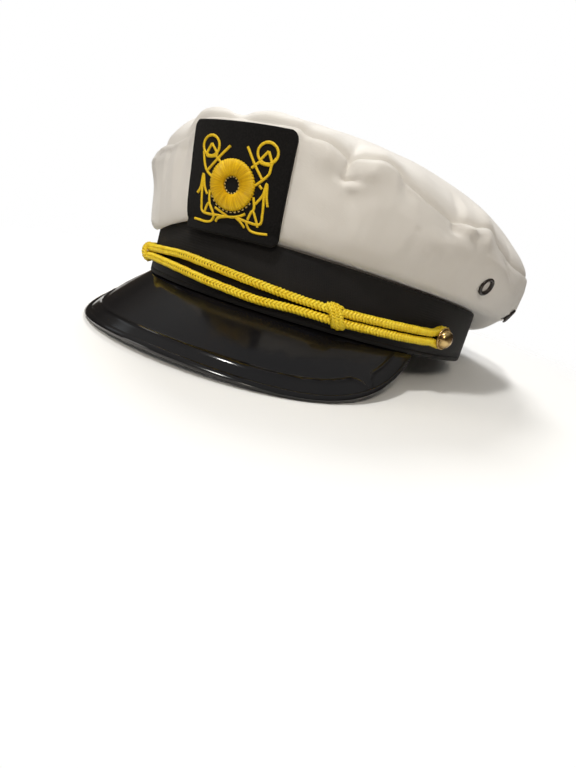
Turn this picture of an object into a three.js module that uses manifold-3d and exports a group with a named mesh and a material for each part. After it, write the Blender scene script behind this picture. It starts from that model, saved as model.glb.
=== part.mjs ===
// A soft white captain hat: cloth crown with a sewn-on top panel, black band, moulded peak,
// embroidered front patch, and a gold cord held by two side buttons. Millimetres, +Z up.
// The hat is drawn level, front towards -Y and the band's lower rim at z = 0, and is tipped at
// the end so that it rests on the peak's front edge and the back of the band.
import * as THREE from "three";
import { mergeVertices } from "three/addons/utils/BufferGeometryUtils.js";
import Module from "manifold-3d";

const wasm = await Module();
wasm.setup();

// Sizes of the real hat.
const gap = 0.3; // between neighbouring pieces
const weldDistance = 0.001; // vertices closer than this are one
const bandLength = 196.6; // outside, front to back
const bandWidth = 169.4; // outside, side to side
const bandFront = 27.3; // height at the front
const bandRear = 24.6; // height at the back
const bandWall = 2.4;
const crownRise = 42.7; // seam above the band at the front
const crownOverhang = 27; // seam outside the band at the back
const crownWall = 2;
const crownTuck = 6.5; // depth of the crown's foot inside the band
const topWall = 2;
const topRise = 31; // middle of the top panel above the mean height of its seam
const topFlatness = 4; // a higher power keeps the top panel flat for longer towards its seam
const topSlack = 0.5; // extra thickness at the steep rim, as a share of topWall
const puckerDepth = 3.2; // how far a pucker draws the seam in
const puckerDrop = 2.2; // how far a pucker draws the seam down
const puckerFade = 8; // a higher power ends the puckers sooner on the top panel
const peakReach = 38.6; // band to edge, down the slope at the middle
const peakSpan = 62; // degrees each side of the front
const peakWall = 1.8;
const peakFlange = 8; // sewn-in upstand inside the band
const peakDropMiddle = 37; // degrees below level at the middle
const peakDropSide = 47; // degrees below level at the ends
const peakEnd = 1; // width left at the very ends
const peakFullness = 4.2; // a higher power keeps the peak wide for longer towards its ends
const peakFan = 0.55; // share of the peak's direction that follows the band, the rest is forwards
const peakBulge = 0.05; // height of the peak's swell, as a share of the distance from the band
const beadWidth = 3; // raised rim of the peak
const beadHeight = 0.8;
const patchWidth = 41.6;
const patchHeight = 41;
const patchWall = 1.8;
const patchGap = 0.45; // behind the patch, over the wall's facets
const patchCorner = 3; // radius of its corners
const patchTurn = 2.2; // degrees that the patch is sewn on askew
const patchDip = 2.4; // how far the patch hangs over the band
const patchAside = 2.1; // how far the patch is sewn to the wearer's left of the middle
const threadRadius = 0.8; // raised thread lines of the emblem
const ringRadius = 9.2; // life ring, outside
const ringHole = 3.3; // life ring, hole
const cordRadius = 1.9;
const knotLength = 5; // along the cord
const knotWall = 0.9;
const buttonAngle = 69.3; // degrees from the front
const buttonRadius = 5.1;
const buttonDome = 3.4;
const shankRadius = 1.2;
const eyeletRadius = 4.35;
const eyeletHole = 2.1;
const eyeletBarrel = 2.8;
const eyeletLip = 0.9;
const eyeletSlack = 1.6; // room behind the cloth for its curve

// The crown's wall at angles from the front: lengths out are shares of crownOverhang, lengths
// up are shares of crownRise above the band's top edge.
const crownShape = [
  { angle: 0, rollOut: 0.05, rollUp: 0.04, bellyOut: 0.23, bellyUp: 0.53, seamOut: 0.36, seamUp: 1 },
  { angle: 30, rollOut: 0.1, rollUp: 0.05, bellyOut: 0.31, bellyUp: 0.53, seamOut: 0.36, seamUp: 0.92 },
  { angle: 60, rollOut: 0.2, rollUp: 0.07, bellyOut: 0.52, bellyUp: 0.52, seamOut: 0.48, seamUp: 0.74 },
  { angle: 90, rollOut: 0.42, rollUp: -0.01, bellyOut: 0.74, bellyUp: 0.28, seamOut: 0.65, seamUp: 0.54 },
  { angle: 120, rollOut: 0.68, rollUp: -0.05, bellyOut: 0.94, bellyUp: 0.13, seamOut: 0.81, seamUp: 0.37 },
  { angle: 150, rollOut: 0.82, rollUp: -0.14, bellyOut: 1.05, bellyUp: 0.06, seamOut: 0.93, seamUp: 0.27 },
  { angle: 180, rollOut: 0.86, rollUp: -0.16, bellyOut: 1.09, bellyUp: 0.04, seamOut: 1, seamUp: 0.23 },
];

// Puckers of the top seam: depth is a share of puckerDepth and puckerDrop, width in degrees.
const puckers = [
  { angle: 15, depth: 0.7, width: 4 },
  { angle: 27, depth: 1, width: 4 },
  { angle: 38, depth: 0.8, width: 4 },
  { angle: 63, depth: 1, width: 5 },
  { angle: 88, depth: 0.7, width: 5 },
  { angle: 114, depth: 0.8, width: 5 },
  { angle: 140, depth: 0.6, width: 5 },
  { angle: 167, depth: 0.7, width: 5 },
  { angle: -17, depth: 0.7, width: 4 },
  { angle: -34, depth: 0.8, width: 4 },
  { angle: -57, depth: 1, width: 5 },
  { angle: -84, depth: 0.7, width: 5 },
  { angle: -110, depth: 0.8, width: 5 },
  { angle: -138, depth: 0.6, width: 5 },
];

// The cord's two strands over the band: turn is a share of buttonAngle, middle is the height
// between the strands as a share of bandFront, spread is how far apart they run (1 is side by
// side), and lift is a share of knotWall and its gap that a knot holds them off the band.
const cordRoute = [
  { turn: -1.04, middle: 0.381, spread: 1.66, lift: 0 },
  { turn: -1, middle: 0.381, spread: 1.66, lift: 0 },
  { turn: -0.958, middle: 0.366, spread: 1.05, lift: 0 },
  { turn: -0.924, middle: 0.36, spread: 1.03, lift: 0 },
  { turn: -0.79, middle: 0.34, spread: 1.03, lift: 0 },
  { turn: -0.64, middle: 0.33, spread: 1, lift: 0.1 },
  { turn: -0.505, middle: 0.33, spread: 1, lift: 1 },
  { turn: -0.428, middle: 0.348, spread: 1, lift: 0.4 },
  { turn: -0.308, middle: 0.358, spread: 1.18, lift: 0 },
  { turn: -0.173, middle: 0.36, spread: 1.46, lift: 0 },
  { turn: -0.02, middle: 0.33, spread: 1.56, lift: 0 },
  { turn: 0.1, middle: 0.304, spread: 1.54, lift: 0 },
  { turn: 0.202, middle: 0.283, spread: 1.5, lift: 0 },
  { turn: 0.361, middle: 0.28, spread: 1.06, lift: 0.1 },
  { turn: 0.505, middle: 0.275, spread: 1, lift: 1 },
  { turn: 0.64, middle: 0.289, spread: 1, lift: 0.1 },
  { turn: 0.79, middle: 0.311, spread: 1.03, lift: 0 },
  { turn: 0.924, middle: 0.34, spread: 1.03, lift: 0 },
  { turn: 0.958, middle: 0.356, spread: 1.05, lift: 0 },
  { turn: 1, middle: 0.381, spread: 1.66, lift: 0 },
  { turn: 1.04, middle: 0.381, spread: 1.66, lift: 0 },
];
const knots = [
  { name: "knot_left", turn: 0.505 },
  { name: "knot_right", turn: -0.505 },
];

// The buttons' and the eyelets' outlines, as shares of their radius and of their height.
const buttonShape = [
  { radius: 1, height: 0 },
  { radius: 1, height: 0.2 },
  { radius: 0.86, height: 0.58 },
  { radius: 0.6, height: 0.86 },
  { radius: 0.3, height: 0.97 },
  { radius: 0, height: 1 },
];
const eyeletShape = [
  { radius: 1, height: 0 },
  { radius: 1, height: 0.5 },
  { radius: 0.8, height: 1 },
];

// Eyelets in the crown's wall: up runs from 0 at the roll, over 1 at the belly, to 2 at the seam.
const eyelets = [
  { name: "eyelet_left_front", angle: 72, up: 0.55 },
  { name: "eyelet_left_rear", angle: 102.5, up: 0.4 },
  { name: "eyelet_right_front", angle: -72, up: 0.55 },
  { name: "eyelet_right_rear", angle: -102.5, up: 0.4 },
];

// The emblem's lines on the patch, as shares of half its width and half its height, for the
// anchor on one side. The other anchor is its mirror image.
const anchorLines = [
  { name: "stock", points: [[0.17, 0.62], [0.35, 0.37], [0.56, 0.12]] },
  { name: "shank", points: [[0.66, 0.42], [0.64, 0.23], [0.57, 0.11], [0.41, 0]] },
  { name: "brace", points: [[0.45, 0.45], [0.28, 0.27]] },
  { name: "arm", points: [[0.64, 0.05], [0.64, -0.4], [0.61, -0.62], [0.3, -0.65], [0, -0.63]] },
  { name: "barb", points: [[0.51, -0.31], [0.64, 0.05], [0.74, -0.32]] },
  { name: "inner arm", points: [[0.41, -0.2], [0.46, -0.42], [0.36, -0.63]] },
  { name: "cable", points: [[0.34, -0.64], [0.41, -0.76], [0.51, -0.8], [0.8, -0.79]] },
];
const ringPlace = { across: -0.01, up: -0.07 };
const anchorEye = { across: 0.55, up: 0.57, radius: 0.174 };

// How finely the shapes are faceted.
const aroundHat = 72;
const topRows = [1, 0.96, 0.89, 0.78, 0.58, 0.3, 0];
const wallStations = [0, 1, 1.5, 2, 2.5, 3, 3.5, 4, 4.5, 5];

const white = new THREE.MeshStandardMaterial({ color: 0xe9e4dd, roughness: 0.85, metalness: 0 });
const black = new THREE.MeshStandardMaterial({ color: 0x101012, roughness: 0.9, metalness: 0 });
const gloss = new THREE.MeshStandardMaterial({ color: 0x060607, roughness: 0.15, metalness: 0 });
const gold = new THREE.MeshStandardMaterial({ color: 0xe8b90c, roughness: 0.55, metalness: 0 });
const brass = new THREE.MeshStandardMaterial({ color: 0xb58a3c, roughness: 0.25, metalness: 1 });

const radians = THREE.MathUtils.degToRad;

// Reads one column of a table at a key, on a smooth curve through the rows.
function read(rows, column, key) {
  const last = rows.length - 1;
  const at = THREE.MathUtils.clamp(key, rows[0].angle, rows[last].angle);
  const i = Math.min(Math.max(rows.findIndex((row) => row.angle >= at), 1), last);
  const slope = (k) => {
    const before = rows[Math.max(k - 1, 0)];
    const after = rows[Math.min(k + 1, last)];
    return (after[column] - before[column]) / (after.angle - before.angle);
  };
  const low = rows[i - 1];
  const high = rows[i];
  const span = high.angle - low.angle;
  const t = (at - low.angle) / span;
  const rise = t * t * (3 - 2 * t);
  const leave = t * (1 - t) ** 2 * span * slope(i - 1);
  const arrive = t * t * (t - 1) * span * slope(i);
  return low[column] + (high[column] - low[column]) * rise + leave + arrive;
}

// The crown's table is the same on both sides of the hat.
function crown(column, angle) {
  return read(crownShape, column, Math.abs(angle));
}

// The plan direction that faces straight out of the band at an angle from the front.
function outward(angle) {
  const a = radians(angle);
  return new THREE.Vector3(bandLength * Math.sin(a), -bandWidth * Math.cos(a), 0).normalize();
}

// A point at a distance outside the band's outer face.
function beside(angle, out, height) {
  const a = radians(angle);
  const foot = new THREE.Vector3((bandWidth / 2) * Math.sin(a), (-bandLength / 2) * Math.cos(a), height);
  return foot.addScaledVector(outward(angle), out);
}

function bandHeight(angle) {
  return THREE.MathUtils.lerp(bandFront, bandRear, (1 - Math.cos(radians(angle))) / 2);
}

// The angle whose distance round the front of the band is a given length.
function angleAt(distance) {
  const side = Math.sign(distance);
  let angle = 0;
  let gone = 0;
  const step = 0.5;
  while (gone < Math.abs(distance)) {
    gone += beside(angle, 0, 0).distanceTo(beside(angle + step, 0, 0));
    angle += step;
  }
  return side * angle;
}

// Angle between two directions round the hat, from 0 to 180 degrees.
function apart(a, b) {
  return Math.abs(((((a - b) % 360) + 540) % 360) - 180);
}

function pucker(angle) {
  return puckers.reduce(
    (sum, row) => sum + row.depth * Math.exp(-((apart(angle, row.angle) / row.width) ** 2)),
    0,
  );
}

// The outer face of the crown's wall at an angle, from its foot inside the band to the seam,
// as a curve with x measured out from the band and y up. Draw is how far puckers pull it.
function wallCurve(angle, draw) {
  const top = bandHeight(angle);
  const inside = -bandWall - gap;
  const seam = {
    out: crown("seamOut", angle) * crownOverhang - draw * puckerDepth,
    up: top + crown("seamUp", angle) * crownRise - draw * puckerDrop,
  };
  const belly = {
    out: crown("bellyOut", angle) * crownOverhang - (draw * puckerDepth) / 3,
    up: top + crown("bellyUp", angle) * crownRise,
  };
  const roll = {
    out: crown("rollOut", angle) * crownOverhang,
    up: top + gap + crown("rollUp", angle) * crownRise,
  };
  return new THREE.CatmullRomCurve3(
    [
      new THREE.Vector3(inside, top - crownTuck, 0),
      new THREE.Vector3(inside, top - gap, 0),
      new THREE.Vector3(-bandWall / 2, top + 3 * gap, 0),
      new THREE.Vector3(roll.out, roll.up, 0),
      new THREE.Vector3(belly.out, belly.up, 0),
      new THREE.Vector3(seam.out, seam.up, 0),
    ],
    false,
    "centripetal",
  );
}

// A point of the crown's wall: station runs from 0 at the foot to 5 at the seam, and depth is
// measured into the cloth.
function wallPoint(angle, station, depth = 0, draw = pucker(angle)) {
  const curve = wallCurve(angle, draw);
  const point = curve.getPoint(station / 5);
  const along = curve.getTangent(station / 5);
  return beside(angle, point.x - along.y * depth, point.y + along.x * depth);
}

// The wall's outer face without its puckers at a given height, as a distance from the band.
function wallOut(angle, height) {
  const curve = wallCurve(angle, 0);
  let low = 3 / 5;
  let high = 1;
  const halvings = 18;
  for (let i = 0; i < halvings; i += 1) {
    const middle = (low + high) / 2;
    if (curve.getPoint(middle).y < height) {
      low = middle;
    } else {
      high = middle;
    }
  }
  return curve.getPoint(low).x;
}

// Gives every vertex of a geometry a new place, and welds it into one closed skin.
function reshape(geometry, place) {
  const position = geometry.attributes.position;
  for (let i = 0; i < position.count; i += 1) {
    const from = new THREE.Vector3().fromBufferAttribute(position, i);
    const to = place(from, i);
    position.setXYZ(i, to.x, to.y, to.z);
  }
  return weld(geometry);
}

// Joins vertices that lie together and drops the faces that this closes up.
function weld(geometry) {
  geometry.deleteAttribute("normal");
  geometry.deleteAttribute("uv");
  const joined = mergeVertices(geometry, weldDistance);
  const old = joined.index.array;
  const kept = [];
  for (let i = 0; i < old.length; i += 3) {
    const [a, b, c] = [old[i], old[i + 1], old[i + 2]];
    if (a !== b && b !== c && c !== a) {
      kept.push(a, b, c);
    }
  }
  joined.setIndex(kept);
  joined.computeVertexNormals();
  return joined;
}

// A body turned round the hat: place gives each point of its section at each angle. A section
// that doesn't close on itself starts and ends on the axis.
function turned(points, closed, place) {
  const profile = [];
  const count = closed ? points + 1 : points;
  for (let i = 0; i < count; i += 1) {
    const a = (2 * Math.PI * i) / points - Math.PI / 2;
    profile.push(new THREE.Vector2(2 + Math.cos(a), Math.sin(a)));
  }
  const lathe = new THREE.LatheGeometry(profile, aroundHat);
  return reshape(lathe, (from, i) => {
    const turn = Math.floor(i / count) % aroundHat;
    const angle = (360 * turn) / aroundHat;
    return place(angle > 180 ? angle - 360 : angle, (i % count) % points);
  });
}

// A plate bent into shape: place gets shares from 0 to 1 across, along and through it.
function bent(across, along, place) {
  const plate = new THREE.BoxGeometry(1, 1, 1, across, along, 1);
  return reshape(plate, (from) => place(from.x + 0.5, from.y + 0.5, from.z + 0.5));
}

function solid(geometry) {
  const skin = weld(geometry.clone());
  return new wasm.Manifold(
    new wasm.Mesh({
      numProp: 3,
      vertProperties: skin.attributes.position.array,
      triVerts: new Uint32Array(skin.index.array),
    }),
  );
}

function fromSolid(body) {
  const mesh = body.getMesh();
  const geometry = new THREE.BufferGeometry();
  geometry.setAttribute("position", new THREE.BufferAttribute(mesh.vertProperties, 3));
  geometry.setIndex(new THREE.BufferAttribute(mesh.triVerts, 1));
  geometry.computeVertexNormals();
  return geometry;
}

function piece(name, geometry, material) {
  const mesh = new THREE.Mesh(geometry, material);
  mesh.name = name;
  return mesh;
}

function tube(path, radius, sides, steps) {
  const shape = new THREE.Shape();
  for (let i = 0; i < sides; i += 1) {
    const a = (2 * Math.PI * i) / sides;
    const corner = [radius * Math.cos(a), radius * Math.sin(a)];
    if (i === 0) {
      shape.moveTo(...corner);
    } else {
      shape.lineTo(...corner);
    }
  }
  shape.closePath();
  return new THREE.ExtrudeGeometry(shape, { extrudePath: path, steps, bevelEnabled: false });
}

function makeBand() {
  const corners = [
    { depth: bandWall, top: false },
    { depth: 0, top: false },
    { depth: 0, top: true },
    { depth: bandWall, top: true },
  ];
  return turned(corners.length, true, (angle, i) => {
    const corner = corners[i];
    return beside(angle, -corner.depth, corner.top ? bandHeight(angle) : 0);
  });
}

function makeCrownSide() {
  const outer = wallStations.map((station) => ({ station, depth: 0 }));
  const inner = wallStations.map((station) => ({ station, depth: crownWall })).reverse();
  const section = [...outer, ...inner];
  const wall = turned(section.length, true, (angle, i) => {
    return wallPoint(angle, section[i].station, section[i].depth);
  });
  let body = solid(wall);
  for (const eyelet of eyelets) {
    const cut = new THREE.CylinderGeometry(eyeletBarrel + gap, eyeletBarrel + gap, 2 * crownWall, 16);
    cut.translate(0, -crownWall / 2, 0);
    cut.applyMatrix4(eyeletPlace(eyelet));
    body = body.subtract(solid(cut));
  }
  return fromSolid(body);
}

const topCentre = wallPoint(0, 5).add(wallPoint(180, 5)).multiplyScalar(0.5);

// The top panel's outer face: row runs from 0 at the middle to 1 at the seam, where the
// puckers show.
function topPoint(angle, row) {
  const seam = wallPoint(angle, 5, 0, pucker(angle) * row ** puckerFade);
  const point = topCentre.clone().lerp(seam, row);
  point.z = gap + THREE.MathUtils.lerp(topCentre.z + topRise, seam.z, row ** topFlatness);
  return point;
}

function makeCrownTop() {
  const outer = topRows.map((row) => ({ row, under: false }));
  const inner = topRows.map((row) => ({ row, under: true })).reverse();
  const section = [...inner, ...outer];
  return turned(section.length, false, (angle, i) => {
    const { row, under } = section[i];
    if (under && row === 1) {
      return wallPoint(angle, 5, crownWall).add(new THREE.Vector3(0, 0, gap));
    }
    const point = topPoint(angle, row);
    if (under) {
      point.z -= topWall * (1 + topSlack * row ** topFlatness);
    }
    return point;
  });
}

// How far the peak's edge stands off the band, down its slope.
function peakWidth(t) {
  return (peakReach - peakEnd) * (1 - Math.abs(t) ** peakFullness) + peakEnd;
}

// A point of the peak: t runs from -1 to 1 across it, distance is measured down its slope from
// the band, and depth from its upper face.
function peakPoint(t, distance, depth) {
  const angle = peakSpan * t;
  const way = new THREE.Vector3(0, -1, 0).lerp(outward(angle), peakFan).normalize();
  const drop = radians(THREE.MathUtils.lerp(peakDropMiddle, peakDropSide, t * t));
  const share = distance / peakWidth(t);
  const swell = peakBulge * distance * (1 - share);
  const point = beside(angle, 0, -gap);
  point.addScaledVector(way, distance * Math.cos(drop) + (swell - depth) * Math.sin(drop));
  point.z += -distance * Math.sin(drop) + (swell - depth) * Math.cos(drop);
  return point;
}

function makePeak() {
  const inside = -bandWall - gap;
  const slope = [0.03, 0.25, 0.5, 0.75];
  const bead = [
    { back: 1, lift: 0 },
    { back: 0.8, lift: 1 },
    { back: 0.3, lift: 1 },
    { back: 0, lift: 0.3 },
  ];
  const rows = 3 + slope.length + bead.length;
  const columns = 30;
  return bent(columns, rows - 1, (x, y, z) => {
    const t = Math.sin((x - 0.5) * Math.PI);
    const row = Math.round(y * (rows - 1));
    const under = z > 0.5;
    const angle = peakSpan * t;
    if (row === 0) {
      return beside(angle, inside - (under ? peakWall : 0), peakFlange);
    }
    if (row === 1) {
      return beside(angle, inside - (under ? peakWall : 0), -gap - (under ? peakWall : 0));
    }
    if (row === 2) {
      return beside(angle, -bandWall / 2, -gap - (under ? peakWall : 0));
    }
    const width = peakWidth(t);
    const rim = Math.min(beadWidth, width / 2);
    if (row < 3 + slope.length) {
      const distance = slope[row - 3] * (width - rim);
      return peakPoint(t, distance, under ? peakWall : 0);
    }
    const ring = bead[row - 3 - slope.length];
    const lift = (ring.lift * beadHeight * rim) / beadWidth;
    return peakPoint(t, width - ring.back * rim, under ? peakWall : -lift);
  });
}

// A point of the patch: across and up in millimetres from its middle, out from its back face.
function patchPoint(across, up, out) {
  const turn = radians(patchTurn);
  const angle = angleAt(patchAside + across * Math.cos(turn) - up * Math.sin(turn));
  const middle = bandHeight(0) - patchDip + patchHeight / 2;
  const height = middle + up * Math.cos(turn) + across * Math.sin(turn);
  const wall = Math.max(0, wallOut(angle, height));
  return beside(angle, wall + patchGap + out, height);
}

function makePatch() {
  const rows = [0, 0.05, 0.1, 0.16, 0.25, 0.37, 0.5, 0.64, 0.78, 0.89, 0.95, 1];
  return bent(9, rows.length - 1, (x, y, z) => {
    const up = (rows[Math.round(y * (rows.length - 1))] - 0.5) * patchHeight;
    const into = Math.max(0, Math.abs(up) - (patchHeight / 2 - patchCorner));
    const cut = patchCorner - Math.sqrt(patchCorner ** 2 - into ** 2);
    return patchPoint((x - 0.5) * (patchWidth - 2 * cut), up, z * patchWall);
  });
}

// A place on the emblem, from shares of half the patch, on the patch's front face.
function emblemPoint(across, up, out) {
  return patchPoint(across * (patchWidth / 2), up * (patchHeight / 2), patchWall + gap + out);
}

function threadLine(points) {
  const places = points.map(([across, up]) => emblemPoint(across, up, threadRadius));
  const path = new THREE.CatmullRomCurve3(places, false, "centripetal");
  return tube(path, threadRadius, 4, 2 * points.length - 2);
}

function makeEmblem() {
  const tall = patchHeight / 2;
  const wide = patchWidth / 2;
  const middle = (ringRadius + ringHole) / 2;
  const fat = (ringRadius - ringHole) / 2;
  const lifeRing = new THREE.TorusGeometry(middle, fat, 6, 20);
  let body = solid(
    reshape(lifeRing, (from) => {
      const across = ringPlace.across + from.x / wide;
      return emblemPoint(across, ringPlace.up + from.y / tall, fat / 2 + from.z / 2);
    }),
  );
  for (const side of [-1, 1]) {
    for (const line of anchorLines) {
      const points = line.points.map(([across, up]) => [side * across, up]);
      body = body.add(solid(threadLine(points)));
    }
    const eye = new THREE.TorusGeometry(anchorEye.radius * wide, threadRadius, 4, 12);
    body = body.add(
      solid(
        reshape(eye, (from) => {
          const across = side * anchorEye.across + from.x / wide;
          return emblemPoint(across, anchorEye.up + from.y / tall, threadRadius + from.z);
        }),
      ),
    );
  }
  return fromSolid(body);
}

// One strand of the cord at a row of its table.
function cordPoint(strand, row) {
  const apartness = row.spread * (cordRadius + gap / 2);
  const height = row.middle * bandFront + (strand === "upper" ? apartness : -apartness);
  return beside(row.turn * buttonAngle, gap + cordRadius + row.lift * (knotWall + gap), height);
}

function cordTube(strand, radius) {
  const places = cordRoute.map((row) => cordPoint(strand, row));
  return tube(new THREE.CatmullRomCurve3(places, false, "centripetal"), radius, 8, 38);
}

// A wrapped knot that slides on both strands.
function makeKnot(knot) {
  const row = cordRoute.find(({ turn }) => turn === knot.turn);
  const upper = cordPoint("upper", row);
  const lower = cordPoint("lower", row);
  const centre = upper.clone().add(lower).multiplyScalar(0.5);
  const reach = upper.distanceTo(lower) / 2;
  const radius = cordRadius + gap + knotWall;
  const shape = new THREE.Shape();
  shape.absarc(0, reach, radius, 0, Math.PI, false);
  shape.absarc(0, -reach, radius, Math.PI, 2 * Math.PI, false);
  const block = new THREE.ExtrudeGeometry(shape, {
    depth: knotLength,
    bevelEnabled: false,
    curveSegments: 6,
  });
  block.translate(0, 0, -knotLength / 2);
  const out = outward(knot.turn * buttonAngle);
  const along = new THREE.Vector3(-out.y, out.x, 0);
  const up = new THREE.Vector3(0, 0, 1);
  block.applyMatrix4(new THREE.Matrix4().makeBasis(out, up, along.negate()).setPosition(centre));
  const upperHole = solid(cordTube("upper", cordRadius + gap));
  const lowerHole = solid(cordTube("lower", cordRadius + gap));
  return fromSolid(solid(block).subtract(upperHole).subtract(lowerHole));
}

function makeButton(side) {
  const under = 2 * gap + 2 * cordRadius;
  const shank = [
    [0, gap],
    [shankRadius, gap],
    [shankRadius, under],
  ];
  const head = buttonShape.map((row) => [row.radius * buttonRadius, under + row.height * buttonDome]);
  const profile = [...shank, ...head].map(([r, h]) => new THREE.Vector2(r, h));
  const mesh = new THREE.LatheGeometry(profile, 16);
  const angle = side * buttonAngle;
  const height = cordRoute.find(({ turn }) => turn === side).middle;
  const turn = new THREE.Quaternion().setFromUnitVectors(new THREE.Vector3(0, 1, 0), outward(angle));
  mesh.applyQuaternion(turn);
  const foot = beside(angle, 0, height * bandFront);
  mesh.translate(foot.x, foot.y, foot.z);
  return reshape(mesh, (from) => from);
}

// Where an eyelet sits: its own Y axis looks straight out of the crown's wall.
function eyeletPlace(eyelet) {
  const station = 3 + eyelet.up;
  const small = 0.02;
  const centre = wallPoint(eyelet.angle, station);
  const upward = wallPoint(eyelet.angle, station + small).sub(centre).normalize();
  const level = wallPoint(eyelet.angle + small, station).sub(centre).normalize();
  const out = new THREE.Vector3().crossVectors(level, upward).normalize();
  const side = new THREE.Vector3().crossVectors(out, upward).normalize();
  return new THREE.Matrix4().makeBasis(side, out, upward).setPosition(centre);
}

function makeEyelet(eyelet) {
  const back = -crownWall - eyeletSlack;
  const flange = (eyeletBarrel + eyeletRadius) / 2;
  const barrel = [
    [eyeletHole, back - eyeletLip / 2],
    [flange, back - eyeletLip / 2],
    [flange, back],
    [eyeletBarrel, back],
    [eyeletBarrel, gap],
  ];
  const lip = eyeletShape.map((row) => [row.radius * eyeletRadius, gap + row.height * eyeletLip]);
  const hole = [
    [eyeletHole, gap + eyeletLip],
    [eyeletHole, back - eyeletLip / 2],
  ];
  const profile = [...barrel, ...lip, ...hole].map(([r, h]) => new THREE.Vector2(r, h));
  const mesh = new THREE.LatheGeometry(profile, 10);
  mesh.applyMatrix4(eyeletPlace(eyelet));
  return reshape(mesh, (from) => from);
}

// The tilt at which the peak's edge is as low as the back of the band's lower rim.
function restingTilt(peak) {
  const heel = beside(180, 0, 0);
  const position = peak.attributes.position;
  let tilt = 0;
  for (let i = 0; i < position.count; i += 1) {
    tilt = Math.max(tilt, Math.atan2(-position.getZ(i), heel.y - position.getY(i)));
  }
  return tilt;
}

const peakGeometry = makePeak();
const hat = new THREE.Group();
hat.add(piece("crown_side", makeCrownSide(), white));
hat.add(piece("crown_top", makeCrownTop(), white));
hat.add(piece("band", makeBand(), black));
hat.add(piece("peak", peakGeometry, gloss));
hat.add(piece("badge_patch", makePatch(), black));
hat.add(piece("badge_embroidery", makeEmblem(), gold));
hat.add(piece("cord_upper", weld(cordTube("upper", cordRadius)), gold));
hat.add(piece("cord_lower", weld(cordTube("lower", cordRadius)), gold));
for (const knot of knots) {
  hat.add(piece(knot.name, makeKnot(knot), gold));
}
hat.add(piece("button_left", makeButton(1), brass));
hat.add(piece("button_right", makeButton(-1), brass));
for (const eyelet of eyelets) {
  hat.add(piece(eyelet.name, makeEyelet(eyelet), gloss));
}

// The tipped hat stands with the middle of its base at the origin.
hat.rotation.x = -restingTilt(peakGeometry);
const part = new THREE.Group();
part.add(hat);
part.updateMatrixWorld(true);
const extent = new THREE.Box3().setFromObject(hat, true);
const middle = extent.getCenter(new THREE.Vector3());
hat.position.set(-middle.x, -middle.y, -extent.min.z);

export default part;
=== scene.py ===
from functools import lru_cache
from math import atan2, cos, degrees, exp, pi, radians, sin, sqrt, tau

import bmesh
import bpy
from mathutils import Matrix, Quaternion, Vector, noise
from mathutils.kdtree import KDTree


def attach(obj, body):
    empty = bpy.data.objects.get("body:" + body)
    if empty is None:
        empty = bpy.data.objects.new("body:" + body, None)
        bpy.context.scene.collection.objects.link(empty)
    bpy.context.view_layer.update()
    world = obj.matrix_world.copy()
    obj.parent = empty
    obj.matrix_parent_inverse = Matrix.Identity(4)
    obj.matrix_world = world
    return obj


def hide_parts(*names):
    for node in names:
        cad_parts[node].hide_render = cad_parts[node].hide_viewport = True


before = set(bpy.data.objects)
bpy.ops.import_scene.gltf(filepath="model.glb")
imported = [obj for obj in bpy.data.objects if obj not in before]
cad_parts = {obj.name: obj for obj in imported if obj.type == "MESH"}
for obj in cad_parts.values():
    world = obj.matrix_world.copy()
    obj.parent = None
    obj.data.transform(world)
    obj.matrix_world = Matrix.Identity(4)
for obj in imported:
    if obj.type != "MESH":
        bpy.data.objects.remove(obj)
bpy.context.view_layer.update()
scene = bpy.context.scene

# The set: a wide pale floor in soft daylight-like studio light. The viewer stands close to the
# hat, in front and to the wearer's left, with the head leaned over to one side.
viewer = Vector((0.13785, -0.2853, 0.065))
viewing = Vector((-0.4227, 0.85742, -0.29345))
viewer_lean = radians(-13.82)
lens = 26.2

eye = bpy.data.cameras.new("viewer")
eye.lens = lens
eye.sensor_width = 36
eye.clip_start = 0.01
camera = bpy.data.objects.new("viewer", eye)
scene.collection.objects.link(camera)
camera.rotation_mode = "QUATERNION"
camera.rotation_quaternion = Quaternion(viewing, viewer_lean) @ viewing.to_track_quat("-Z", "Y")
camera.location = viewer
scene.camera = camera

scene.view_settings.view_transform = "Standard"


def node(made, kind, inputs, **settings):
    new = made.node_tree.nodes.new("ShaderNode" + kind)
    for setting, value in settings.items():
        setattr(new, setting, value)
    for socket, value in inputs.items():
        if isinstance(value, bpy.types.NodeSocket):
            made.node_tree.links.new(value, new.inputs[socket])
        else:
            new.inputs[socket].default_value = value
    return new


def ranged(made, value, low, high, **settings):
    """Turns a value between two numbers, low, into one between two others, high."""
    inputs = {"Value": value, "From Min": low[0], "From Max": low[1], "To Min": high[0], "To Max": high[1]}
    return node(made, "MapRange", inputs, **settings).outputs["Result"]


def ramped(made, factor, stops):
    """Runs a factor through colours at given places."""
    ramp = node(made, "ValToRGB", {"Fac": factor})
    points = ramp.color_ramp.elements
    for i, (place, colour) in enumerate(stops):
        if i > 1:
            points.new(place)
        points[i].position = place
        points[i].color = (*colour, 1)
    return ramp.outputs["Color"]


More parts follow.
